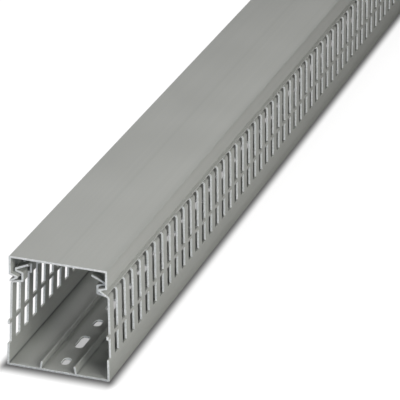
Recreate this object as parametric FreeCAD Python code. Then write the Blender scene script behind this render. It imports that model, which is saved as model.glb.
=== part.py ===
import FreeCAD, Part
import math
import os

# Slotted wire duct: an extruded and punched rigid PVC trough with fingered
# side walls, and the extruded cover that clips over the fingers.
# Millimetres. Z is up, Y runs along the duct, X runs across it.
# The origin is the middle of the underside.

# Stock
LENGTH = 1000.0          # cut length, 1 m stock
BASE_WIDTH = 60.0        # across the underside
OVERALL_HEIGHT = 66.3    # underside to the top of the closed cover
WALL_THICKNESS = 1.25    # floor and walls alike
WALL_LEAN = 1.4          # each wall leans in by this much at its upper bend

# Finger tops, right hand side; the left hand side is their mirror image
CLIP_DEPTH = 16.3        # from the top of the cover down to the fingers' bend
GROOVE_INSET = 6.3       # depth of the snap groove, in from the bend
SHELF_RISE = 1.25         # from the bend up to the groove's lower corner
GROOVE_HEIGHT = 3.65      # flat back of the groove
NOSE_REACH = 3.8         # the snap nose stands out this far from the groove
NOSE_RISE = 1.1          # and rises this much on the way
NOSE_HEIGHT = 2.1        # blunt front of the nose
RAMP_RUN = 7.6           # lead-in ramp above the nose, inward
RAMP_RISE = 3.45          # and up

# Side slots, punched through both walls and open at the top
SLOT_PITCH = 12.5
SLOT_WIDTH = 6.2
SLOT_BOTTOM = 13.1
NECK_HEIGHT = 26.1       # middle of the break-off neck that ties two fingers
NECK_DEPTH = 2.3         # its size up and down

# Floor
RIB_SPACING = 20.6       # between the feet of the two lengthwise ribs
RIB_LEAN = 0.8           # each rib leans towards the middle by this much at its top
RIB_HEIGHT = 4.3         # above the floor
RIB_THICKNESS = 1.1
HOLE_PITCH = 25.0        # fixing holes, short and long in turn
SHORT_HOLE_WIDTH = 4.2
SHORT_HOLE_LENGTH = 8.0
LONG_HOLE_WIDTH = 4.8
LONG_HOLE_LENGTH = 15.0

# Cover
COVER_THICKNESS = 1.2
COVER_CORNER_RADIUS = 0.8
LIP_GAP = 1.0            # between the nose and the cover's lip
HOOK_CLEARANCE = 0.3     # between the hook's upper arm and the nose above it
HOOK_THICKNESS = 1.1
HOOK_TIP_GAP = 0.9       # between the hook's tip and the back of the groove
HOOK_TIP_DEPTH = 1.27     # flat tip, where the two arms meet
HOOK_END_RISE = 0.6      # the lower arm ends this far above the shelf
HOOK_END_INSET = 0.3     # and this far inside the lip

CUT_MARGIN = 2.0         # punches reach this far past what they cut


def point(x, z):
    """A point of the section, which is drawn at Y = 0."""
    return FreeCAD.Vector(x, 0, z)


def mirrored(points):
    """The same points on the left hand side, in reverse order."""
    return [point(-p.x, p.z) for p in reversed(points)]


def face_of(points):
    """A flat face inside a closed outline of straight lines."""
    return Part.Face(Part.makePolygon(points + points[:1]))


def line_height(start, direction, x):
    """Height at x of the line through start along direction."""
    return start.z + (x - start.x) * direction.z / direction.x


def extruded(face):
    """The section pushed along the whole duct, centred on the origin."""
    solid = face.extrude(FreeCAD.Vector(0, LENGTH, 0))
    solid.translate(FreeCAD.Vector(0, -LENGTH / 2, 0))
    return solid


def finger_line():
    """Outer line of the right wall, from its foot to the tip of the ramp."""
    foot = point(BASE_WIDTH / 2, 0)
    bend = point(foot.x - WALL_LEAN, OVERALL_HEIGHT - CLIP_DEPTH)
    groove_low = point(bend.x - GROOVE_INSET, bend.z + SHELF_RISE)
    groove_high = point(groove_low.x, groove_low.z + GROOVE_HEIGHT)
    nose_low = point(groove_high.x + NOSE_REACH, groove_high.z + NOSE_RISE)
    nose_high = point(nose_low.x, nose_low.z + NOSE_HEIGHT)
    tip = point(nose_high.x - RAMP_RUN, nose_high.z + RAMP_RISE)
    return [foot, bend, groove_low, groove_high, nose_low, nose_high, tip]


def trough_section():
    """Floor and both walls: one outer line thickened inward, with mitred corners."""
    right = finger_line()
    line = Part.makePolygon(mirrored(right) + right)
    mitred = 2
    return line.makeOffset2D(WALL_THICKNESS, mitred, True, True, False)


def rib_section(side):
    """One lengthwise rib, rooted in the floor's full thickness and leaning to the middle."""
    foot = side * RIB_SPACING / 2
    crest = foot - side * RIB_LEAN
    half = RIB_THICKNESS / 2
    top = WALL_THICKNESS + RIB_HEIGHT
    return face_of([point(foot - half, 0), point(foot + half, 0), point(foot + half, WALL_THICKNESS),
                    point(crest + half, top), point(crest - half, top), point(foot - half, WALL_THICKNESS)])


def trough():
    """The extrusion as it leaves the die, before punching."""
    ribs = [extruded(rib_section(side)) for side in (-1, 1)]
    return extruded(trough_section()).multiFuse(ribs).removeSplitter()


def slot_punches(y):
    """Punches for one pair of slots: below the neck and above it."""
    neck_low = NECK_HEIGHT - NECK_DEPTH / 2
    neck_high = NECK_HEIGHT + NECK_DEPTH / 2
    width = BASE_WIDTH + 2 * CUT_MARGIN
    corner = FreeCAD.Vector(-width / 2, y - SLOT_WIDTH / 2, 0)
    spans = ((SLOT_BOTTOM, neck_low), (neck_high, OVERALL_HEIGHT + CUT_MARGIN))
    return [Part.makeBox(width, SLOT_WIDTH, high - low, corner + FreeCAD.Vector(0, 0, low))
            for low, high in spans]


def oblong_punch(y, width, length):
    """Punch for a round-ended hole that runs along the duct."""
    radius = width / 2
    reach = length / 2 - radius
    right = [FreeCAD.Vector(radius, -reach, 0), FreeCAD.Vector(radius, reach, 0)]
    left = [FreeCAD.Vector(-radius, reach, 0), FreeCAD.Vector(-radius, -reach, 0)]
    far = FreeCAD.Vector(0, length / 2, 0)
    near = FreeCAD.Vector(0, -length / 2, 0)
    sides = [Part.LineSegment(*right), Part.Arc(right[1], far, left[0]),
             Part.LineSegment(*left), Part.Arc(left[1], near, right[0])]
    outline = Part.Wire([side.toShape() for side in sides])
    depth = WALL_THICKNESS + 2 * CUT_MARGIN
    punch = Part.Face(outline).extrude(FreeCAD.Vector(0, 0, depth))
    punch.translate(FreeCAD.Vector(0, y, -CUT_MARGIN))
    return punch


def slot_places():
    """Middles of the slots: the saw cuts the duct through a slot at the end."""
    count = math.floor(LENGTH / SLOT_PITCH) + 1
    return [-LENGTH / 2 + n * SLOT_PITCH for n in range(count)]


def hole_punches():
    """Fixing holes on the centre line, short and long in turn."""
    count = math.floor(LENGTH / HOLE_PITCH)
    sizes = ((SHORT_HOLE_WIDTH, SHORT_HOLE_LENGTH), (LONG_HOLE_WIDTH, LONG_HOLE_LENGTH))
    places = [-LENGTH / 2 + (n + 0.5) * HOLE_PITCH for n in range(count)]
    return [oblong_punch(y, *sizes[n % 2]) for n, y in enumerate(places)]


def duct_base():
    """The trough, extruded and then punched."""
    punches = [punch for y in slot_places() for punch in slot_punches(y)]
    return trough().cut(punches + hole_punches())


def hook_outline(lip_outer, lip_inner):
    """The cover's hook, drawn from the groove of the finger that it clips into.

    Its upper arm lies under the nose and runs inward to a blunt tip. From
    there the lower arm falls outward to just above the shelf. Points run from
    the lip's inner face round the tip and the notch to the lip's outer face.
    """
    bend, groove_low, groove_high, nose = finger_line()[1:5]
    under = nose - groove_high
    under_rise = 1 / math.cos(math.atan2(under.z, under.x))

    def upper(x, depth):
        return point(x, line_height(groove_high, under, x) - depth * under_rise)

    thick = HOOK_CLEARANCE + HOOK_THICKNESS
    tip_x = groove_low.x + HOOK_TIP_GAP
    tip_high = upper(tip_x, HOOK_CLEARANCE)
    tip_low = tip_high - point(0, HOOK_TIP_DEPTH)
    end_x = lip_outer - HOOK_END_INSET
    end_low = point(end_x, line_height(bend, groove_low - bend, end_x) + HOOK_END_RISE)
    fall = end_low - tip_low
    lower_rise = HOOK_THICKNESS / math.cos(math.atan2(fall.z, fall.x))
    end_high = end_low + point(0, lower_rise)
    gap = tip_low.z + lower_rise - upper(tip_x, thick).z
    notch = tip_x + gap / (under.z / under.x - fall.z / fall.x)
    return [upper(lip_inner, HOOK_CLEARANCE), tip_high, tip_low, end_low, end_high,
            upper(notch, thick), upper(lip_outer, thick)]


def cover_section():
    """Flat top, two side lips and their hooks, as one face."""
    nose = finger_line()[4]
    lip_inner = nose.x + LIP_GAP
    lip_outer = lip_inner + COVER_THICKNESS
    underside = OVERALL_HEIGHT - COVER_THICKNESS
    hook = hook_outline(lip_outer, lip_inner)
    inside = [point(lip_inner, underside)] + hook
    corner = point(lip_outer, OVERALL_HEIGHT)
    right = inside + [corner]
    return face_of(right + mirrored(right))


def cover():
    """The clip-on cover, its two long outer corners rounded."""
    solid = extruded(cover_section())
    long_edges = [edge for edge in solid.Edges
                  if edge.BoundBox.ZMin > OVERALL_HEIGHT - 0.01 and edge.BoundBox.YLength > LENGTH / 2]
    return solid.makeFillet(COVER_CORNER_RADIUS, long_edges)


def main():
    os.makedirs("parts", exist_ok=True)
    for name, solid in (("duct_base", duct_base()), ("cover", cover())):
        solid.exportStep("parts/" + name + ".step")


main()
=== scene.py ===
"""Slotted wire duct: a punched rigid PVC trough and its clip-on cover, on a white studio floor."""

import logging
import math
from dataclasses import dataclass
from enum import Enum
from typing import Any, Sequence

import bmesh
import bpy
from mathutils import Matrix, Vector


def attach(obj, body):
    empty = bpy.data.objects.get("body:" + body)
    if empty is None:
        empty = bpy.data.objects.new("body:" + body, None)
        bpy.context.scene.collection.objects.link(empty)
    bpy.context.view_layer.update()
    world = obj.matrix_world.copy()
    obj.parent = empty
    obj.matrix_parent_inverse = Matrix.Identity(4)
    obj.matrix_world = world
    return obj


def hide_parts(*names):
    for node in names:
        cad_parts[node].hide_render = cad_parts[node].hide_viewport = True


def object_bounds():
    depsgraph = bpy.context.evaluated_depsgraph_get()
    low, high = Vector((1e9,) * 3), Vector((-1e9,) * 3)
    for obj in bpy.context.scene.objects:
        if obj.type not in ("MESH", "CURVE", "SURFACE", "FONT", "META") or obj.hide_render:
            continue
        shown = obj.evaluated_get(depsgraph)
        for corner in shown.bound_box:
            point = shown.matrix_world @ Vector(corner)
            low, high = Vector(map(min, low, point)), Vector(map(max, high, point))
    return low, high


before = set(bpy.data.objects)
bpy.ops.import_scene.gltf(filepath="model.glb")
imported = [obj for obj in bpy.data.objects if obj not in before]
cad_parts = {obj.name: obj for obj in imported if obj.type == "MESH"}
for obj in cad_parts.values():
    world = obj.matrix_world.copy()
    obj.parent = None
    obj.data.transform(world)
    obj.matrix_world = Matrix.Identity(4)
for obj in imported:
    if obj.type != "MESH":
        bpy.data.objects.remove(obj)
CAD_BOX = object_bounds()

MM = 0.001
ARC_STEP = math.radians(22.5)
MIN_ARC_STEPS = 2
WELD_MM = 0.002
UNIT_WELD_MM = 2 * WELD_MM
SHARP_ANGLE = math.radians(35.0)
BEVEL_ANGLE = math.radians(55.0)
# Mask of the pale cut faces; it also carries the painted highlight on the fixing holes' rolled
# edges.
CUT_FACE_AND_RIM_HIGHLIGHT_MASK = "sawn"

# A face counts as cut from the first to the second share of its normal along the duct.
CUT_FACE_SPAN = (0.35, 0.85)
# The rolled edge of a fixing hole has this upright share in its normal, give or take; faces with it
# get a painted highlight in the pale cut colour.
ROLLED_SLOPE = 0.7
ROLLED_SPREAD = 0.2
# The wave texture's scale is this much smaller than one over the size of a tooth.
TOOTH_SCALE = 20

log = logging.getLogger("wire_duct")

Point = tuple[float, float]


class Facing(Enum):
    """Which way along the duct a flat end face looks."""

    NEAR = -1
    FAR = 1


class Side(Enum):
    """Left or right half of a section that is drawn for the right half."""

    LEFT = -1
    RIGHT = 1


@dataclass(frozen=True)
class Corner:
    """A corner of a section outline, in millimetres.

    Attributes:
        x: place across the duct.
        z: height.
        radius: radius that rounds the corner, 0 for a sharp one.
    """

    x: float
    z: float
    radius: float = 0.0

    def at(self, radius: float) -> "Corner":
        """The same corner with another radius."""
        return Corner(self.x, self.z, radius)


def arc(before: Corner, corner: Corner, after: Corner) -> list[Point]:
    """Points of the arc that rounds one corner.

    Args:
        before: the corner before it on the outline.
        corner: the corner that is rounded.
        after: the corner after it.

    Returns:
        Points from the first tangent point to the last.
    """
    here = Vector((corner.x, corner.z))
    back = (Vector((before.x, before.z)) - here).normalized()
    ahead = (Vector((after.x, after.z)) - here).normalized()
    half = back.angle(ahead) / 2
    centre = here + (back + ahead).normalized() * (corner.radius / math.sin(half))
    start = here + back * (corner.radius / math.tan(half)) - centre
    turn = math.pi - 2 * half
    if back.x * ahead.y - back.y * ahead.x > 0:
        turn = -turn
    steps = max(MIN_ARC_STEPS, math.ceil(abs(turn) / ARC_STEP))
    spokes = [Matrix.Rotation(turn * n / steps, 2) @ start for n in range(steps + 1)]
    return [tuple(centre + spoke) for spoke in spokes]


def rounded(corners: Sequence[Corner]) -> list[Point]:
    """An open line of corners with each rounded by its own radius.

    Args:
        corners: the corners in order; the first and the last stay sharp.

    Returns:
        The points of the line.
    """
    points = [(corners[0].x, corners[0].z)]
    for before, corner, after in zip(corners, corners[1:], corners[2:]):
        if corner.radius > 0:
            points += arc(before, corner, after)
        else:
            points.append((corner.x, corner.z))
    return points + [(corners[-1].x, corners[-1].z)]


def sided(points: Sequence[Point], side: Side) -> list[Point]:
    """A line of the right half, or its mirror image with the same sense of turn."""
    if side is Side.RIGHT:
        return list(points)
    return [(-x, z) for x, z in reversed(points)]


def mitred_inward(line: Sequence[Corner], thickness: float) -> list[Corner]:
    """Offsets a line to its left by a thickness, with mitred corners.

    Args:
        line: corners in order, the material lying to their left.
        thickness: the offset in millimetres.

    Returns:
        One corner for each corner of the line, sharp.
    """
    places = [Vector((corner.x, corner.z)) for corner in line]
    ways = [(b - a).normalized() for a, b in zip(places, places[1:])]
    ways = [ways[0]] + ways + [ways[-1]]
    moved = []
    for place, way_in, way_out in zip(places, ways, ways[1:]):
        left_in = Vector((-way_in.y, way_in.x))
        left_out = Vector((-way_out.y, way_out.x))
        shift = (left_in + left_out) / (1 + left_in.dot(left_out))
        moved.append(place + shift * thickness)
    return [Corner(*place) for place in moved]


def height_on(start: Corner, end: Corner, x: float) -> float:
    """Height at x of the line through two corners."""
    return start.z + (x - start.x) * (end.z - start.z) / (end.x - start.x)


@dataclass(frozen=True)
class PaintedShadeLine:
    """A faint dark line along the whole profile: painted shade, where a corner or a bend darkens
    the surface.

    Attributes:
        x: its middle across the duct, in millimetres.
        z: height of its middle, in millimetres.
        width: its width in millimetres, faded to both sides.
        share: how much of the line colour it takes on.
    """

    x: float
    z: float
    width: float
    share: float


@dataclass(frozen=True)
class TroughSection:
    """Cross-section of the trough, in millimetres.

    The outer line of the right wall is thickened inward, as the die does it,
    and the left half is its mirror image.
    """

    width: float
    height: float
    thickness: float = 1.25
    lean: float = 1.4
    clip_depth: float = 16.3
    groove_inset: float = 6.3
    shelf_rise: float = 1.25
    groove_height: float = 3.65
    nose_reach: float = 3.8
    nose_rise: float = 1.1
    nose_height: float = 2.1
    ramp_run: float = 7.6
    ramp_rise: float = 3.45
    slot_bottom: float = 13.1
    neck_height: float = 26.1
    neck_depth: float = 2.3
    rib_spacing: float = 20.6
    rib_lean: float = 0.8
    rib_height: float = 4.3
    rib_thickness: float = 1.1
    foot_radius: float = 0.5
    bend_radius: float = 2.2
    groove_radius: float = 0.7
    nose_radius: float = 0.8
    pocket_radius: float = 0.2
    rib_radius: float = 0.35
    hole_strip: float = 8.0
    # Painted shade in the floor's corners: the lines' width, and their darkness at the walls and at
    # the ribs' feet.
    line_width: float = 2.8
    wall_line_share: float = 0.75
    rib_line_share: float = 0.45

    def outer(self) -> list[Corner]:
        """Outer line of the right wall, from the floor's middle to the ramp's tip."""
        foot = Corner(self.width / 2, 0, self.foot_radius)
        bend = Corner(foot.x - self.lean, self.height - self.clip_depth, self.bend_radius)
        groove_low = Corner(
            bend.x - self.groove_inset, bend.z + self.shelf_rise, self.groove_radius)
        groove_high = Corner(groove_low.x, groove_low.z + self.groove_height)
        nose_low = Corner(
            groove_high.x + self.nose_reach, groove_high.z + self.nose_rise, self.nose_radius)
        nose_high = Corner(nose_low.x, nose_low.z + self.nose_height, self.nose_radius)
        tip = Corner(nose_high.x - self.ramp_run, nose_high.z + self.ramp_rise)
        return [Corner(0, 0), foot, bend, groove_low, groove_high, nose_low, nose_high, tip]

    def inner(self) -> list[Corner]:
        """Inner line of the right wall, corner for corner with the outer line."""
        radii = (
            0.0, self.pocket_radius, self.bend_radius - self.thickness, self.groove_radius,
            self.groove_radius, self.pocket_radius, self.pocket_radius, 0.0)
        sharp = mitred_inward(self.outer(), self.thickness)
        return [corner.at(radius) for corner, radius in zip(sharp, radii)]

    def on_wall(self, line: Sequence[Corner], height: float) -> Corner:
        """The place on the wall's straight flank at a height."""
        foot, bend = line[1], line[2]
        share = (height - foot.z) / (bend.z - foot.z)
        return Corner(foot.x + (bend.x - foot.x) * share, height)

    def marks(self, line: Sequence[Corner]) -> list[Corner]:
        """Slot bottom and the two edges of the neck, on one face of the wall."""
        half = self.neck_depth / 2
        heights = (self.slot_bottom, self.neck_height - half, self.neck_height + half)
        return [self.on_wall(line, height) for height in heights]

    def outside_low(self) -> list[Point]:
        """From the edge of the hole strip round the foot up to the slot bottom."""
        outer = self.outer()
        return rounded([Corner(self.hole_strip, 0), outer[1], self.marks(outer)[0]])

    def inside_low(self) -> list[Point]:
        """From the slot bottom down the inside, over the rib, to the hole strip."""
        inner = self.inner()
        foot = self.rib_spacing / 2
        crest = foot - self.rib_lean
        half = self.rib_thickness / 2
        top = self.thickness + self.rib_height
        small = self.rib_radius
        return rounded([
            self.marks(inner)[0], inner[1],
            Corner(foot + half, self.thickness, small), Corner(crest + half, top, small),
            Corner(crest - half, top, small), Corner(foot - half, self.thickness, small),
            Corner(self.hole_strip, self.thickness),
        ])

    def corner_shade_lines(self) -> tuple[PaintedShadeLine, ...]:
        """Painted shade in the corners of the floor: dark lines at both walls and at the ribs'
        feet.
        """
        wall = self.inner()[1]
        foot, half = self.rib_spacing / 2, self.rib_thickness / 2
        places = (
            (wall.x, self.wall_line_share),
            (foot + half, self.rib_line_share), (foot - half, self.rib_line_share))
        return tuple(
            PaintedShadeLine(side.value * x, self.thickness, self.line_width, share)
            for side in Side for x, share in places)

    def slot_sill(self) -> list[Point]:
        """Bottom of a slot, across the wall."""
        outer, inner = self.marks(self.outer())[0], self.marks(self.inner())[0]
        return [(outer.x, outer.z), (inner.x, inner.z)]

    def finger(self) -> list[Point]:
        """Round a finger, from the slot bottom outside over the top to it inside."""
        outer, inner = self.outer(), self.inner()
        up = rounded(self.marks(outer) + outer[2:])
        down = rounded(list(reversed(self.marks(inner) + inner[2:])))
        return up + down

    def finger_ends(self) -> list[list[Point]]:
        """Side faces of a finger below and above the neck, as closed outlines."""
        outer, inner = self.marks(self.outer()), self.marks(self.inner())
        below = [outer[0], outer[1], inner[1], inner[0]]
        whole = self.finger()
        return [[(corner.x, corner.z) for corner in below], whole[2:-2]]

    def neck(self) -> list[Point]:
        """Closed outline of the neck between two fingers."""
        outer, inner = self.marks(self.outer()), self.marks(self.inner())
        return [(corner.x, corner.z) for corner in (outer[1], outer[2], inner[2], inner[1])]

    def channel(self) -> list[Point]:
        """Closed outline of all that lies below the slots, as the saw leaves it."""
        right = self.outside_low() + self.inside_low()
        return right + sided(right, Side.LEFT)


@dataclass(frozen=True)
class CoverSection:
    """Cross-section of the cover, in millimetres, fitted to the trough's groove."""

    trough: TroughSection
    thickness: float = 1.2
    lip_gap: float = 1.0
    clearance: float = 0.3
    hook_thickness: float = 1.1
    tip_gap: float = 0.9
    tip_depth: float = 1.27
    end_rise: float = 0.6
    end_inset: float = 0.3
    corner_radius: float = 0.8
    hook_radius: float = 0.45
    notch_radius: float = 0.3
    # Painted shade on the flat top: a thin line near the middle and a wide band at the right edge.
    middle_line_x: float = -0.2
    middle_line_width: float = 3.0
    middle_line_share: float = 0.16
    edge_line_x: float = 28.0
    edge_line_width: float = 8.5
    edge_line_share: float = 0.3

    def hook(self, lip_inner: float, lip_outer: float) -> list[Corner]:
        """The hook, from the lip's inner face round its tip to the outer face.

        Args:
            lip_inner: place of the lip's inner face.
            lip_outer: place of its outer face.

        Returns:
            Corners in order, each with its radius.
        """
        bend, groove_low, groove_high, nose = self.trough.outer()[2:6]
        under = math.atan2(nose.z - groove_high.z, nose.x - groove_high.x)
        small = self.notch_radius

        def upper(x: float, depth: float, radius: float = small) -> Corner:
            """A corner on a line under the nose."""
            return Corner(x, height_on(groove_high, nose, x) - depth / math.cos(under), radius)

        thick = self.clearance + self.hook_thickness
        tip_high = upper(groove_low.x + self.tip_gap, self.clearance)
        tip_low = Corner(tip_high.x, tip_high.z - self.tip_depth, small)
        end_x = lip_outer - self.end_inset
        end_low = Corner(end_x, height_on(bend, groove_low, end_x) + self.end_rise, small)
        fall = math.atan2(tip_low.z - end_low.z, end_low.x - tip_low.x)
        rise = self.hook_thickness / math.cos(fall)
        end_high = Corner(end_x, end_low.z + rise, small)
        gap = tip_low.z + rise - upper(tip_low.x, thick).z
        notch = tip_low.x + gap / (math.tan(under) + math.tan(fall))
        return [
            upper(lip_inner, self.clearance), tip_high, tip_low, end_low, end_high,
            upper(notch, thick), upper(lip_outer, thick, self.hook_radius),
        ]

    def outline(self) -> list[Point]:
        """Closed outline of the whole cover."""
        nose = self.trough.outer()[5]
        lip_inner = nose.x + self.lip_gap
        lip_outer = lip_inner + self.thickness
        top = self.trough.height
        middle = Corner(0, top - self.thickness)
        roof = Corner(lip_inner, top - self.thickness, self.hook_radius)
        edge = Corner(lip_outer, top, self.corner_radius)
        hook = self.hook(lip_inner, lip_outer)
        right = rounded([middle, roof] + hook + [edge, Corner(0, top)])
        return right + sided(right, Side.LEFT)[1:-1]

    def top_shade_lines(self) -> tuple[PaintedShadeLine, ...]:
        """Painted shade on the flat top: a thin line near the middle, and a wide band at the right
        edge where the real top bends down.
        """
        top = self.trough.height
        return (
            PaintedShadeLine(self.middle_line_x, top, self.middle_line_width, self.middle_line_share),
            PaintedShadeLine(self.edge_line_x, top, self.edge_line_width, self.edge_line_share))


class SectionMesh:
    """Faces made by pushing lines of a section along the duct. Input in millimetres."""

    def __init__(self) -> None:
        """Starts an empty mesh."""
        self.bm = bmesh.new()

    def vertex(self, point: Point, y: float) -> bmesh.types.BMVert:
        """A vertex at a point of the section and a place along the duct."""
        return self.bm.verts.new((point[0] * MM, y * MM, point[1] * MM))

    def skin(self, line: Sequence[Point], span: tuple[float, float], closed: bool = False) -> None:
        """Pushes a line of the section from one place along the duct to another.

        Args:
            line: points in counter-clockwise order, seen from the near end.
            span: first and last place along the duct.
            closed: whether the last point joins the first.
        """
        near = [self.vertex(point, span[0]) for point in line]
        far = [self.vertex(point, span[1]) for point in line]
        count = len(line)
        for i in range(count if closed else count - 1):
            j = (i + 1) % count
            self.bm.faces.new((near[i], far[i], far[j], near[j]))

    def cap(self, outline: Sequence[Point], y: float, facing: Facing) -> None:
        """Closes a section with a flat face.

        Args:
            outline: points in counter-clockwise order, seen from the near end.
            y: place along the duct.
            facing: which way the face looks.
        """
        ring = [self.vertex(point, y) for point in outline]
        self.bm.faces.new(ring if facing is Facing.NEAR else ring[::-1])

    def ring(self, loops: Sequence[Sequence[Vector]]) -> list[list[bmesh.types.BMVert]]:
        """Joins closed loops of equal count with faces.

        Args:
            loops: loops of places in millimetres, in order.

        Returns:
            The vertices of each loop.
        """
        rows = [[self.bm.verts.new(place * MM) for place in loop] for loop in loops]
        for low, high in zip(rows, rows[1:]):
            for i in range(len(low)):
                j = (i + 1) % len(low)
                self.bm.faces.new((low[i], high[i], high[j], low[j]))
        return rows

    def plate(self, border: Sequence[bmesh.types.BMVert],
              hole: Sequence[bmesh.types.BMVert]) -> None:
        """Fills the flat area between a border and a hole.

        Args:
            border: vertices round the outside.
            hole: vertices round the hole, already joined by edges.
        """
        ring = list(border[1:]) + [border[0]]
        edges = [self.bm.edges.new((a, b)) for a, b in zip(border, ring)]
        for a, b in zip(hole, list(hole[1:]) + [hole[0]]):
            edges.append(self.bm.edges.get((a, b)))
        bmesh.ops.triangle_fill(self.bm, use_beauty=True, use_dissolve=False, edges=edges)

    def finished(self, name: str) -> bpy.types.Mesh:
        """Welds the faces into one mesh.

        Args:
            name: name of the mesh.

        Returns:
            The mesh, in metres.
        """
        bmesh.ops.remove_doubles(self.bm, verts=self.bm.verts, dist=WELD_MM * MM)
        bmesh.ops.recalc_face_normals(self.bm, faces=self.bm.faces)
        mesh = bpy.data.meshes.new(name)
        self.bm.to_mesh(mesh)
        self.bm.free()
        return mesh


def new_object(name: str, mesh: bpy.types.Mesh) -> bpy.types.Object:
    """Puts a mesh in the scene as an object at the origin."""
    piece = bpy.data.objects.new(name, mesh)
    bpy.context.scene.collection.objects.link(piece)
    return piece


def add_node(tree: bpy.types.NodeTree, kind: str, inputs: dict[Any, Any] | None = None,
             **settings: Any) -> bpy.types.Node:
    """Adds a node to a tree with its settings, values and links.

    Args:
        tree: the tree that gets the node.
        kind: Blender's name for the kind of node.
        inputs: input name or number to a value, or to an output that is linked to it.
        **settings: properties of the node.

    Returns:
        The node.
    """
    node = tree.nodes.new(kind)
    for name, value in settings.items():
        setattr(node, name, value)
    for name, value in (inputs or {}).items():
        socket = node.inputs[name]
        if isinstance(value, bpy.types.NodeSocket):
            tree.links.new(value, socket)
        else:
            socket.default_value = value
    return node


def calculated(tree: bpy.types.NodeTree, operation: str, *values: Any) -> bpy.types.NodeSocket:
    """Adds a math node to a tree.

    Args:
        tree: the tree that gets the node.
        operation: Blender's name for the operation.
        *values: numbers, or outputs that are linked.

    Returns:
        The socket that holds the result.
    """
    return add_node(tree, "ShaderNodeMath", dict(enumerate(values)), operation=operation).outputs[0]


def linear(hex_colour: str, alpha: float = 1.0) -> tuple[float, float, float, float]:
    """Turns an sRGB hex colour into linear red, green, blue and alpha."""
    codes = (int(hex_colour[i:i + 2], 16) / 255 for i in (1, 3, 5))
    red, green, blue = (c / 12.92 if c <= 0.04045 else ((c + 0.055) / 1.055) ** 2.4 for c in codes)
    return red, green, blue, alpha


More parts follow.
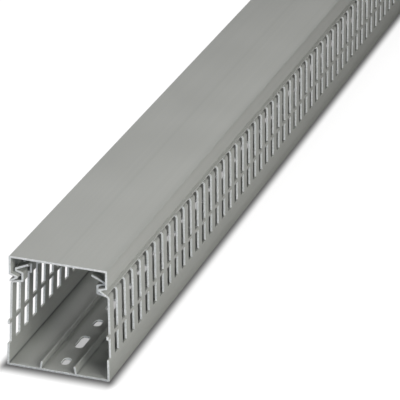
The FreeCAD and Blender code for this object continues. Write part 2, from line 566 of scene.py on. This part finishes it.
@dataclass(frozen=True)
class ExtrudedPvc:
    """Extruded rigid PVC, semi-matt: drawn through a die, so its faint lines run lengthwise.

    The die leaves soft streaks of tone and height along the duct. The saw and
    the punch tear the surface, so cut faces are paler, rougher and grainy.
    Each span is the stretch of a noise's values that is used. The dark lines are painted shade.
    """

    name: str
    body: str = "#A6A8A4"
    streak: str = "#A2A4A0"
    cut: str = "#F6F8F8"
    cut_shade: str = "#E0E3E3"
    ior: float = 1.53
    roughness: float = 0.46
    cut_roughness: float = 0.8
    gloss_spread: tuple[float, float] = (-0.05, 0.06)
    # Colour of the painted shade lines; the lines below say where they darken.
    line: str = "#8E908C"
    lines: tuple[PaintedShadeLine, ...] = ()
    streak_width_mm: float = 2.2
    streak_length_mm: float = 420.0
    streak_detail: float = 3.0
    streak_roughness: float = 0.55
    streak_span: tuple[float, float] = (0.15, 0.4)
    cloud_mm: float = 60.0
    cloud_detail: float = 3.0
    cloud_span: tuple[float, float] = (0.3, 0.7)
    grain_mm: float = 0.9
    grain_detail: float = 4.0
    grain_span: tuple[float, float] = (0.35, 0.6)
    tooth_mm: float = 0.7
    tooth_distortion: float = 4.0
    tooth_detail: float = 2.0
    relief_strength: float = 0.25
    relief_mm: float = 0.15

    def material(self) -> bpy.types.Material:
        """Builds the material.

        Returns:
            The material, procedural on object coordinates and on the mask of cut faces and painted
            rim highlights.
        """
        made = bpy.data.materials.new(self.name)
        made.use_nodes = True
        tree = made.node_tree
        tree.nodes.clear()
        place = add_node(tree, "ShaderNodeTexCoord").outputs["Object"]
        mask = add_node(tree, "ShaderNodeAttribute", attribute_name=CUT_FACE_AND_RIM_HIGHLIGHT_MASK).outputs["Fac"]
        streaks = self._streaks(tree, place)
        clouds = add_node(tree, "ShaderNodeTexNoise", {
            "Vector": place, "Scale": 1 / (self.cloud_mm * MM),
            "Detail": self.cloud_detail}).outputs["Fac"]
        grain = add_node(tree, "ShaderNodeTexNoise", {
            "Vector": place, "Scale": 1 / (self.grain_mm * MM),
            "Detail": self.grain_detail}).outputs["Fac"]
        shader = add_node(tree, "ShaderNodeBsdfPrincipled", {
            "Base Color": self._colour(tree, place, streaks, clouds, grain, mask),
            "Roughness": self._roughness(tree, clouds, mask),
            "Normal": self._relief(tree, place, streaks, grain, mask),
            "IOR": self.ior})
        add_node(tree, "ShaderNodeOutputMaterial", {"Surface": shader.outputs["BSDF"]})
        return made

    def _streaks(self, tree: bpy.types.NodeTree,
                 place: bpy.types.NodeSocket) -> bpy.types.NodeSocket:
        """Noise drawn out along the duct, from 0 to 1."""
        across = 1 / (self.streak_width_mm * MM)
        along = 1 / (self.streak_length_mm * MM)
        drawn = add_node(tree, "ShaderNodeMapping", {
            "Vector": place, "Scale": (across, along, across)})
        noise = add_node(tree, "ShaderNodeTexNoise", {
            "Vector": drawn.outputs["Vector"], "Scale": 1.0,
            "Detail": self.streak_detail, "Roughness": self.streak_roughness})
        return noise.outputs["Fac"]

    def _colour(self, tree: bpy.types.NodeTree, place: bpy.types.NodeSocket,
                streaks: bpy.types.NodeSocket, clouds: bpy.types.NodeSocket,
                grain: bpy.types.NodeSocket, mask: bpy.types.NodeSocket) -> bpy.types.NodeSocket:
        """Drawn surface with soft streaks and painted shade lines, and pale grainy cut faces; the
        pale colour also paints a highlight on the holes' rolled edges.
        """
        low, high = self.streak_span
        share = add_node(tree, "ShaderNodeMapRange", {
            "Value": calculated(tree, "MULTIPLY", streaks, clouds),
            "From Min": low, "From Max": high})
        drawn = add_node(tree, "ShaderNodeMix", {
            "Factor": share.outputs[0], "A": linear(self.streak), "B": linear(self.body)},
            data_type="RGBA")
        flat = add_node(tree, "ShaderNodeVectorMath", {
            0: place, 1: (1.0, 0.0, 1.0)}, operation="MULTIPLY")
        # Painted shade: each line darkens the colour toward its middle.
        for line in self.lines:
            apart = add_node(tree, "ShaderNodeVectorMath", {
                0: flat.outputs["Vector"], 1: (line.x * MM, 0.0, line.z * MM)},
                operation="DISTANCE")
            level = add_node(tree, "ShaderNodeMapRange", {
                "Value": apart.outputs["Value"], "From Max": line.width / 2 * MM,
                "To Min": line.share, "To Max": 0.0}, interpolation_type="SMOOTHSTEP")
            drawn = add_node(tree, "ShaderNodeMix", {
                "Factor": level.outputs["Result"],
                "A": drawn.outputs["Result"], "B": linear(self.line)}, data_type="RGBA")
        low, high = self.grain_span
        speck = add_node(tree, "ShaderNodeMapRange", {
            "Value": grain, "From Min": low, "From Max": high})
        torn = add_node(tree, "ShaderNodeMix", {
            "Factor": speck.outputs[0], "A": linear(self.cut_shade), "B": linear(self.cut)},
            data_type="RGBA")
        both = add_node(tree, "ShaderNodeMix", {
            "Factor": mask, "A": drawn.outputs["Result"], "B": torn.outputs["Result"]},
            data_type="RGBA")
        return both.outputs["Result"]

    def _roughness(self, tree: bpy.types.NodeTree, clouds: bpy.types.NodeSocket,
                   mask: bpy.types.NodeSocket) -> bpy.types.NodeSocket:
        """Slightly uneven gloss, and dull cut faces."""
        low, high = self.cloud_span
        less, more = self.gloss_spread
        drawn = add_node(tree, "ShaderNodeMapRange", {
            "Value": clouds, "From Min": low, "From Max": high,
            "To Min": self.roughness + less, "To Max": self.roughness + more})
        both = add_node(tree, "ShaderNodeMix", {
            "Factor": mask, "A": drawn.outputs[0], "B": self.cut_roughness}, data_type="FLOAT")
        return both.outputs["Result"]

    def _relief(self, tree: bpy.types.NodeTree, place: bpy.types.NodeSocket,
                streaks: bpy.types.NodeSocket, grain: bpy.types.NodeSocket,
                mask: bpy.types.NodeSocket) -> bpy.types.NodeSocket:
        """Die lines on drawn faces and saw marks on cut ones."""
        teeth = add_node(tree, "ShaderNodeTexWave", {
            "Vector": place, "Scale": 1 / (self.tooth_mm * MM) / TOOTH_SCALE,
            "Distortion": self.tooth_distortion, "Detail": self.tooth_detail},
            bands_direction="DIAGONAL")
        torn = calculated(tree, "MULTIPLY", teeth.outputs["Fac"], grain)
        height = add_node(tree, "ShaderNodeMix", {
            "Factor": mask, "A": streaks, "B": torn}, data_type="FLOAT")
        relief = add_node(tree, "ShaderNodeBump", {
            "Strength": self.relief_strength, "Distance": self.relief_mm * MM,
            "Height": height.outputs["Result"]})
        return relief.outputs["Normal"]


class NodesStep:
    """A geometry nodes tree with named inputs, run on an object as one modifier."""

    def __init__(self, name: str, sockets: dict[str, str]) -> None:
        """Starts a tree.

        Args:
            name: name of the tree.
            sockets: input name to socket kind, besides the geometry.
        """
        self.tree = bpy.data.node_groups.new(name, "GeometryNodeTree")
        face = self.tree.interface
        face.new_socket("Geometry", in_out="INPUT", socket_type="NodeSocketGeometry")
        face.new_socket("Geometry", in_out="OUTPUT", socket_type="NodeSocketGeometry")
        self.keys = {
            label: face.new_socket(label, in_out="INPUT", socket_type=kind).identifier
            for label, kind in sockets.items()}
        self.given = self.add("NodeGroupInput").outputs

    def add(self, kind: str, inputs: dict[Any, Any] | None = None,
            **settings: Any) -> bpy.types.Node:
        """Adds a node to the tree."""
        return add_node(self.tree, kind, inputs, **settings)

    def work(self, operation: str, *values: Any) -> bpy.types.NodeSocket:
        """Adds a math node to the tree and gives its result."""
        return calculated(self.tree, operation, *values)

    def end(self, geometry: bpy.types.NodeSocket) -> None:
        """Realizes the instances, sets the material and closes the tree."""
        real = self.add("GeometryNodeRealizeInstances", {"Geometry": geometry})
        dressed = self.add("GeometryNodeSetMaterial", {
            "Geometry": real.outputs[0], "Material": self.given["Material"]})
        self.add("NodeGroupOutput", {"Geometry": dressed.outputs[0]})

    def run_on(self, piece: bpy.types.Object, values: dict[str, Any]) -> None:
        """Adds the tree to an object as a modifier.

        Args:
            piece: the object.
            values: input name to value.
        """
        step = piece.modifiers.new(self.tree.name, "NODES")
        step.node_group = self.tree
        for label, value in values.items():
            step[self.keys[label]] = value


def repeat_step() -> NodesStep:
    """Tree that repeats a unit along the duct and closes it with the sawn ends."""
    step = NodesStep("repeat_along_duct", {
        "Count": "NodeSocketInt", "Pitch": "NodeSocketFloat", "Start": "NodeSocketFloat",
        "Ends": "NodeSocketObject", "Material": "NodeSocketMaterial"})
    start = step.add("ShaderNodeCombineXYZ", {"Y": step.given["Start"]})
    offset = step.add("ShaderNodeCombineXYZ", {"Y": step.given["Pitch"]})
    places = step.add("GeometryNodeMeshLine", {
        "Count": step.given["Count"],
        "Start Location": start.outputs[0], "Offset": offset.outputs[0]})
    units = step.add("GeometryNodeInstanceOnPoints", {
        "Points": places.outputs[0], "Instance": step.given["Geometry"]})
    real = step.add("GeometryNodeRealizeInstances", {"Geometry": units.outputs[0]})
    ends = step.add("GeometryNodeObjectInfo", {"Object": step.given["Ends"]})
    joined = step.add("GeometryNodeJoinGeometry")
    step.tree.links.new(real.outputs[0], joined.inputs[0])
    step.tree.links.new(ends.outputs["Geometry"], joined.inputs[0])
    welded = step.add("GeometryNodeMergeByDistance", {
        "Geometry": joined.outputs[0], "Distance": UNIT_WELD_MM * MM})
    step.end(welded.outputs[0])
    return step


def extrude_step() -> NodesStep:
    """Tree that pushes one flat section face along the duct into a closed bar."""
    step = NodesStep("extrude_along_duct", {
        "Length": "NodeSocketFloat", "Material": "NodeSocketMaterial"})
    way = step.add("ShaderNodeCombineXYZ", {"Y": step.given["Length"]})
    far = step.add("GeometryNodeExtrudeMesh", {
        "Mesh": step.given["Geometry"], "Offset": way.outputs[0],
        "Offset Scale": 1.0, "Individual": False})
    near = step.add("GeometryNodeFlipFaces", {"Mesh": step.given["Geometry"]})
    joined = step.add("GeometryNodeJoinGeometry")
    step.tree.links.new(far.outputs["Mesh"], joined.inputs[0])
    step.tree.links.new(near.outputs[0], joined.inputs[0])
    welded = step.add("GeometryNodeMergeByDistance", {
        "Geometry": joined.outputs[0], "Distance": WELD_MM * MM})
    step.end(welded.outputs[0])
    return step


def cut_face_and_rim_highlight_step() -> NodesStep:
    """Tree that marks the faces which the saw and the punch have cut, and paints a highlight on the
    fixing holes' rolled edges.

    A cut face looks along the duct. Past a given place it is sawn, before it
    punched, which tears the surface less. The mask fades over the small
    bevels beside it. The holes' rolled edges get it too, as a painted highlight.
    """
    step = NodesStep("mark_cut_faces_and_rim_highlight", {
        "Sawn Beyond": "NodeSocketFloat", "Punched Share": "NodeSocketFloat",
        "Hole Strip": "NodeSocketFloat", "Material": "NodeSocketMaterial"})
    normal = step.add("GeometryNodeInputNormal")
    slope = step.add("ShaderNodeSeparateXYZ", {0: normal.outputs[0]}).outputs
    position = step.add("GeometryNodeInputPosition")
    place = step.add("ShaderNodeSeparateXYZ", {0: position.outputs[0]}).outputs
    low, high = CUT_FACE_SPAN
    share = step.add("ShaderNodeMapRange", {
        "Value": step.work("ABSOLUTE", slope["Y"]), "From Min": low, "From Max": high})
    sawn = step.work("GREATER_THAN", step.work("ABSOLUTE", place["Y"]), step.given["Sawn Beyond"])
    level = step.add("ShaderNodeMapRange", {
        "Value": sawn, "To Min": step.given["Punched Share"], "To Max": 1.0})
    cut = step.work("MULTIPLY", share.outputs[0], level.outputs[0])
    # Painted highlight: the rolled edges of the fixing holes take the pale cut colour.
    strip = step.work("LESS_THAN", step.work("ABSOLUTE", place["X"]), step.given["Hole Strip"])
    rim_highlight_slope = step.work("COMPARE", step.work("ABSOLUTE", slope["Z"]), ROLLED_SLOPE, ROLLED_SPREAD)
    rolled = step.work("MULTIPLY", strip, rim_highlight_slope)
    marked = step.add("GeometryNodeStoreNamedAttribute", {
        "Geometry": step.given["Geometry"], "Name": CUT_FACE_AND_RIM_HIGHLIGHT_MASK,
        "Value": step.work("MAXIMUM", cut, rolled)}, data_type="FLOAT", domain="FACE")
    step.end(marked.outputs[0])
    return step


def bevel_edges(piece: bpy.types.Object, width_mm: float) -> None:
    """Breaks the sharp edges of a piece by a small flat bevel."""
    bevel = piece.modifiers.new("broken_edges", "BEVEL")
    bevel.width = width_mm * MM
    bevel.segments = 1
    bevel.limit_method = "ANGLE"
    bevel.angle_limit = BEVEL_ANGLE


def baked(piece: bpy.types.Object, name: str) -> bpy.types.Object:
    """Turns an object with modifiers into a plain mesh object.

    Args:
        piece: the object that carries the modifiers; it is removed.
        name: name of the finished piece.

    Returns:
        The finished piece, at the origin.
    """
    graph = bpy.context.evaluated_depsgraph_get()
    mesh = bpy.data.meshes.new_from_object(piece.evaluated_get(graph))
    mesh.name = name
    mesh.shade_smooth()
    mesh.set_sharp_from_angle(angle=SHARP_ANGLE)
    bpy.data.objects.remove(piece)
    return new_object(name, mesh)


def report(piece: bpy.types.Object) -> None:
    """Writes a piece's triangle count, size and open edges to the log."""
    bm = bmesh.new()
    bm.from_mesh(piece.data)
    loose = sum(1 for edge in bm.edges if not edge.is_manifold)
    triangles = sum(len(face.verts) - 2 for face in bm.faces)
    bm.free()
    size = " x ".join(f"{length / MM:.1f}" for length in piece.dimensions)
    log.info("%s: %d triangles, %s mm, %d open edges", piece.name, triangles, size, loose)


@dataclass(frozen=True)
class FixingHole:
    """A round-ended hole in the floor, in millimetres."""

    width: float
    length: float
    chamfer: float = 0.15
    rolled_edge: float = 0.3
    end_steps: int = 10

    def loop(self, middle: float, height: float, grow: float = 0.0) -> list[Vector]:
        """Places round the hole at one height.

        Args:
            middle: the hole's middle along the duct.
            height: height of the loop.
            grow: how much wider than the hole the loop is, all round.

        Returns:
            Places in order, counter-clockwise seen from above.
        """
        radius = self.width / 2 + grow
        reach = (self.length - self.width) / 2
        places = []
        for end in (1, -1):
            for step in range(self.end_steps + 1):
                angle = math.pi * step / self.end_steps
                x = end * radius * math.cos(angle)
                y = end * (reach + radius * math.sin(angle))
                places.append(Vector((x, middle + y, height)))
        return places

    def cut_in(self, sketch: SectionMesh, section: TroughSection,
               stations: Sequence[float]) -> None:
        """Makes the strip of floor round the hole.

        Args:
            sketch: the mesh that gets the faces.
            section: the trough's section.
            stations: places along the duct where the strip's long edges have vertices.
        """
        middle = (stations[0] + stations[-1]) / 2
        top, edge, rolled = section.thickness, self.chamfer, self.rolled_edge
        rows = sketch.ring([
            self.loop(middle, 0, edge), self.loop(middle, edge),
            self.loop(middle, top - rolled), self.loop(middle, top, rolled)])
        for hole, height in ((rows[0], 0.0), (rows[-1], top)):
            right = [sketch.vertex((section.hole_strip, height), y) for y in stations]
            left = [sketch.vertex((-section.hole_strip, height), y) for y in reversed(stations)]
            sketch.plate(right + left, hole)


@dataclass
class PunchedTrough:
    """The trough: extruded floor and walls, with punched slots and fixing holes.

    Sizes are in millimetres.
    """

    section: TroughSection
    length: float
    finish: ExtrudedPvc
    slot_pitch: float = 12.5
    slot_width: float = 6.2
    slots_per_unit: int = 4
    edge_width: float = 0.12
    sawn_depth: float = 1.0
    punched_share: float = 0.95
    holes: tuple[FixingHole, ...] = (FixingHole(4.2, 8.0), FixingHole(4.8, 15.0))

    def stations(self, first: int, count: int) -> list[float]:
        """Places along a unit where a slot or a finger begins.

        Args:
            first: number of the first slot.
            count: how many pitches.

        Returns:
            Places in millimetres from the unit's start.
        """
        half = self.slot_width / 2
        places = [first * self.slot_pitch]
        for n in range(first, first + count):
            start = n * self.slot_pitch
            places += [start + half, start + self.slot_pitch - half, start + self.slot_pitch]
        return places

    def pitch_faces(self, sketch: SectionMesh, start: float) -> None:
        """Faces of one pitch: half a slot, a finger on each wall, half a slot.

        Args:
            sketch: the mesh that gets the faces.
            start: place of the first slot's middle.
        """
        half = self.slot_width / 2
        end = start + self.slot_pitch
        finger = (start + half, end - half)
        slots = ((start, start + half), (end - half, end))
        for side in Side:
            for span in (slots[0], finger, slots[1]):
                sketch.skin(sided(self.section.outside_low(), side), span)
                sketch.skin(sided(self.section.inside_low(), side), span)
            for span in slots:
                sketch.skin(sided(self.section.slot_sill(), side), span)
                sketch.skin(sided(self.section.neck(), side), span, closed=True)
            sketch.skin(sided(self.section.finger(), side), finger)
            for outline in self.section.finger_ends():
                sketch.cap(sided(outline, side), finger[0], Facing.NEAR)
                sketch.cap(sided(outline, side), finger[1], Facing.FAR)

    def unit(self) -> bpy.types.Mesh:
        """The stretch that repeats: four pitches with a short and a long hole."""
        sketch = SectionMesh()
        for n in range(self.slots_per_unit):
            self.pitch_faces(sketch, n * self.slot_pitch)
        per_hole = self.slots_per_unit // len(self.holes)
        for n, hole in enumerate(self.holes):
            hole.cut_in(sketch, self.section, self.stations(n * per_hole, per_hole))
        return sketch.finished("trough_unit")

    def ends(self) -> bpy.types.Mesh:
        """Both sawn end faces: the channel below the slots and the cut necks."""
        sketch = SectionMesh()
        for facing in Facing:
            y = facing.value * self.length / 2
            sketch.cap(self.section.channel(), y, facing)
            for side in Side:
                sketch.cap(sided(self.section.neck(), side), y, facing)
        return sketch.finished("trough_ends")

    def build(self) -> bpy.types.Object:
        """Makes the piece and dresses it.

        Returns:
            The finished trough.
        """
        material = self.finish.material()
        unit_length = self.slots_per_unit * self.slot_pitch
        piece = new_object("trough_work", self.unit())
        ends = new_object("trough_ends", self.ends())
        repeat_step().run_on(piece, {
            "Count": round(self.length / unit_length), "Pitch": unit_length * MM,
            "Start": -self.length / 2 * MM, "Ends": ends, "Material": material})
        bevel_edges(piece, self.edge_width)
        cut_face_and_rim_highlight_step().run_on(piece, {
            "Sawn Beyond": (self.length / 2 - self.sawn_depth) * MM,
            "Punched Share": self.punched_share,
            "Hole Strip": self.section.hole_strip * MM, "Material": material})
        made = baked(piece, "punched_trough")
        bpy.data.objects.remove(ends)
        return made


@dataclass
class ClipCover:
    """The cover: one extrusion with two hooked lips. Sizes are in millimetres."""

    section: CoverSection
    length: float
    finish: ExtrudedPvc
    edge_width: float = 0.12

    def build(self) -> bpy.types.Object:
        """Makes the piece and dresses it.

        Returns:
            The finished cover.
        """
        material = self.finish.material()
        sketch = SectionMesh()
        sketch.cap(self.section.outline(), -self.length / 2, Facing.FAR)
        piece = new_object("cover_work", sketch.finished("cover_face"))
        extrude_step().run_on(piece, {"Length": self.length * MM, "Material": material})
        bevel_edges(piece, self.edge_width)
        cut_face_and_rim_highlight_step().run_on(piece, {"Sawn Beyond": 0.0, "Material": material})
        return baked(piece, "clip_cover")


@dataclass(frozen=True)
class SoftLight:
    """A square softbox, in metres and watts."""

    name: str
    place: tuple[float, float, float]
    target: tuple[float, float, float]
    size: float
    power: float
    colour: str = "#FFFFFF"

    def build(self) -> None:
        """Makes the light and points it at its target."""
        lamp = bpy.data.lights.new(self.name, "AREA")
        lamp.color = linear(self.colour)[:3]
        lamp.size = self.size
        lamp.energy = self.power
        light = bpy.data.objects.new(self.name, lamp)
        light.location = self.place
        way = Vector(self.target) - Vector(self.place)
        light.rotation_euler = way.to_track_quat("-Z", "Y").to_euler()
        bpy.context.scene.collection.objects.link(light)


@dataclass(frozen=True)
class Studio:
    """White floor, plain soft light and the camera at the photograph's angle.

    Attributes:
        footprint: half the object's width and half its length, in metres.
        floor_colour: what the camera sees of the floor's own tone.
        floor_bounce: what the floor throws back at the object.
        contact_bounce: the same close to the object, darker there as painted shade.
        contact_reach_mm: reach of the painted contact shadow beside and before the object.
        contact_span: the shares of that reach between which the shadow fades.
        under_clear: under the object the shadow is as light as at this share of the reach.
    """

    footprint: tuple[float, float]
    lens: float = 247.75
    azimuth: float = 18.074
    elevation: float = 24.080
    roll: float = 1.045
    place: tuple[float, float, float] = (0.48573, -1.74407, 0.70102)
    clip: tuple[float, float] = (0.05, 60.0)
    floor_size: float = 24.0
    floor_colour: str = "#7C7C7C"
    floor_bounce: str = "#C0C0C0"
    contact_bounce: str = "#303030"
    floor_lift: float = 0.9
    contact_reach_mm: tuple[float, float] = (7.0, 13.5)
    contact_span: tuple[float, float] = (-0.05, 0.95)
    contact_dark: float = 0.12
    under_clear: float = 0.4
    world_strength: float = 0.05
    lights: tuple[SoftLight, ...] = (
        SoftLight("softbox_top", place=(-0.5, -0.4, 1.25), target=(0.0, -0.3, 0.0),
                  size=0.8, power=12.8, colour="#FFFDFF"),
        SoftLight("softbox_right", place=(0.85, -0.7, 0.32), target=(0.0, -0.42, 0.03),
                  size=0.5, power=3.5, colour="#FFFDFA"),
        SoftLight("softbox_right_high", place=(1.1, -1.3, 1.1), target=(0.0, -0.42, 0.03),
                  size=0.6, power=11.7, colour="#FFFEFA"),
        SoftLight("softbox_front", place=(0.3, -1.65, 0.28), target=(0.0, -0.42, 0.03),
                  size=0.4, power=2.1, colour="#E6F2FF"),
    )

    def camera(self) -> None:
        """Makes the camera from its azimuth, elevation and roll."""
        az, el, roll = (math.radians(a) for a in (self.azimuth, self.elevation, self.roll))
        right = Vector((math.cos(az), math.sin(az), 0))
        ahead = Vector((
            -math.sin(az) * math.cos(el), math.cos(az) * math.cos(el), -math.sin(el)))
        up = right.cross(ahead)
        level_right = right * math.cos(roll) + up * math.sin(roll)
        level_up = up * math.cos(roll) - right * math.sin(roll)
        data = bpy.data.cameras.new("photo_camera")
        data.lens = self.lens
        data.clip_start, data.clip_end = self.clip
        camera = bpy.data.objects.new("photo_camera", data)
        turn = Matrix((level_right, level_up, -ahead)).transposed().to_4x4()
        camera.matrix_world = Matrix.Translation(self.place) @ turn
        bpy.context.scene.collection.objects.link(camera)
        bpy.context.scene.camera = camera

    def contact(self, tree: bpy.types.NodeTree) -> bpy.types.NodeSocket:
        """Painted contact shadow, reckoned from the object's footprint: 0 along the edge of the
        object's footprint, 1 clear of it.

        Args:
            tree: the floor's node tree.

        Returns:
            The socket that holds it.
        """
        place = add_node(tree, "ShaderNodeTexCoord").outputs["Object"]
        parts = add_node(tree, "ShaderNodeSeparateXYZ", {0: place}).outputs
        shares, squares = [], []
        for axis, half, reach in zip("XY", self.footprint, self.contact_reach_mm):
            past = calculated(tree, "SUBTRACT", calculated(tree, "ABSOLUTE", parts[axis]), half)
            share = calculated(tree, "DIVIDE", past, reach * MM)
            outside = calculated(tree, "MAXIMUM", share, 0.0)
            shares.append(share)
            squares.append(calculated(tree, "POWER", outside, 2.0))
        beyond = calculated(tree, "SQRT", calculated(tree, "ADD", *squares))
        within = add_node(tree, "ShaderNodeClamp", {
            "Value": calculated(tree, "MAXIMUM", *shares), "Min": -self.under_clear, "Max": 0.0})
        low, high = self.contact_span
        clear = add_node(tree, "ShaderNodeMapRange", {
            "Value": calculated(tree, "SUBTRACT", beyond, within.outputs[0]),
            "From Min": low, "From Max": high}, interpolation_type="SMOOTHSTEP")
        return clear.outputs[0]

    def floor(self) -> None:
        """Makes the floor: white to the camera, with the lamps' shadows kept and a painted contact
        shadow along the object's footprint.
        """
        sketch = bmesh.new()
        bmesh.ops.create_grid(sketch, x_segments=1, y_segments=1, size=self.floor_size / 2)
        mesh = bpy.data.meshes.new("studio_floor")
        sketch.to_mesh(mesh)
        sketch.free()
        material = bpy.data.materials.new("matt_white_paper")
        material.use_nodes = True
        tree = material.node_tree
        tree.nodes.clear()
        paper = add_node(tree, "ShaderNodeBsdfDiffuse", {"Color": linear(self.floor_colour)})
        glow = add_node(tree, "ShaderNodeEmission", {"Strength": self.floor_lift})
        lifted = add_node(tree, "ShaderNodeAddShader", {0: paper.outputs[0], 1: glow.outputs[0]})
        # Painted contact shadow: a dim glow takes over the floor close to the object's footprint.
        dark = add_node(tree, "ShaderNodeEmission", {"Strength": self.contact_dark})
        clear = self.contact(tree)
        shaded = add_node(tree, "ShaderNodeMixShader", {
            0: clear, 1: dark.outputs[0], 2: lifted.outputs[0]})
        # Painted shade in what the floor throws back: darker close to the object.
        tone = add_node(tree, "ShaderNodeMix", {
            "Factor": clear, "A": linear(self.contact_bounce), "B": linear(self.floor_bounce)},
            data_type="RGBA")
        bounce = add_node(tree, "ShaderNodeBsdfDiffuse", {"Color": tone.outputs["Result"]})
        seen = add_node(tree, "ShaderNodeLightPath").outputs["Is Camera Ray"]
        either = add_node(tree, "ShaderNodeMixShader", {
            0: seen, 1: bounce.outputs[0], 2: shaded.outputs[0]})
        add_node(tree, "ShaderNodeOutputMaterial", {"Surface": either.outputs[0]})
        mesh.materials.append(material)
        new_object("studio_floor", mesh)

    def world(self) -> None:
        """Makes the world: white to the camera, soft fill light elsewhere."""
        world = bpy.data.worlds.new("studio_world")
        bpy.context.scene.world = world
        world.use_nodes = True
        tree = world.node_tree
        tree.nodes.clear()
        rays = add_node(tree, "ShaderNodeLightPath").outputs
        seen = calculated(tree, "MAXIMUM", rays["Is Camera Ray"], rays["Is Transmission Ray"])
        level = add_node(tree, "ShaderNodeMapRange", {
            "Value": seen, "To Min": self.world_strength, "To Max": 1.0})
        sky = add_node(tree, "ShaderNodeBackground", {
            "Color": (1, 1, 1, 1), "Strength": level.outputs[0]})
        add_node(tree, "ShaderNodeOutputWorld", {"Surface": sky.outputs[0]})

    def build(self) -> None:
        """Makes the whole stage."""
        bpy.context.scene.view_settings.view_transform = "Standard"
        self.world()
        self.floor()
        for light in self.lights:
            light.build()
        self.camera()


def main() -> None:
    """Builds the trough, the cover and the studio, and reports each piece."""
    logging.basicConfig(level=logging.INFO, format="%(name)s %(message)s")
    low, high = CAD_BOX
    length = (high.y - low.y) / MM
    section = TroughSection(width=(high.x - low.x) / MM, height=high.z / MM)
    # The trough's dark lines are painted shade in the floor's corners.
    trough_pvc = ExtrudedPvc(
        "extruded_rigid_pvc_trough", line="#5C5F5E", lines=section.corner_shade_lines())
    trough = PunchedTrough(section, length, trough_pvc).build()
    top = CoverSection(section)
    # The cover's dark lines are painted shade on its top.
    cover_pvc = ExtrudedPvc(
        "extruded_rigid_pvc_cover", body="#A9ABA7", streak="#A5A7A3", lines=top.top_shade_lines())
    cover = ClipCover(top, length, cover_pvc).build()
    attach(trough, "trough")
    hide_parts("duct_base")
    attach(cover, "cover")
    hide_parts("cover")
    for piece in (trough, cover):
        report(piece)
    Studio((high.x, high.y)).build()


if __name__ == "__main__":
    main()
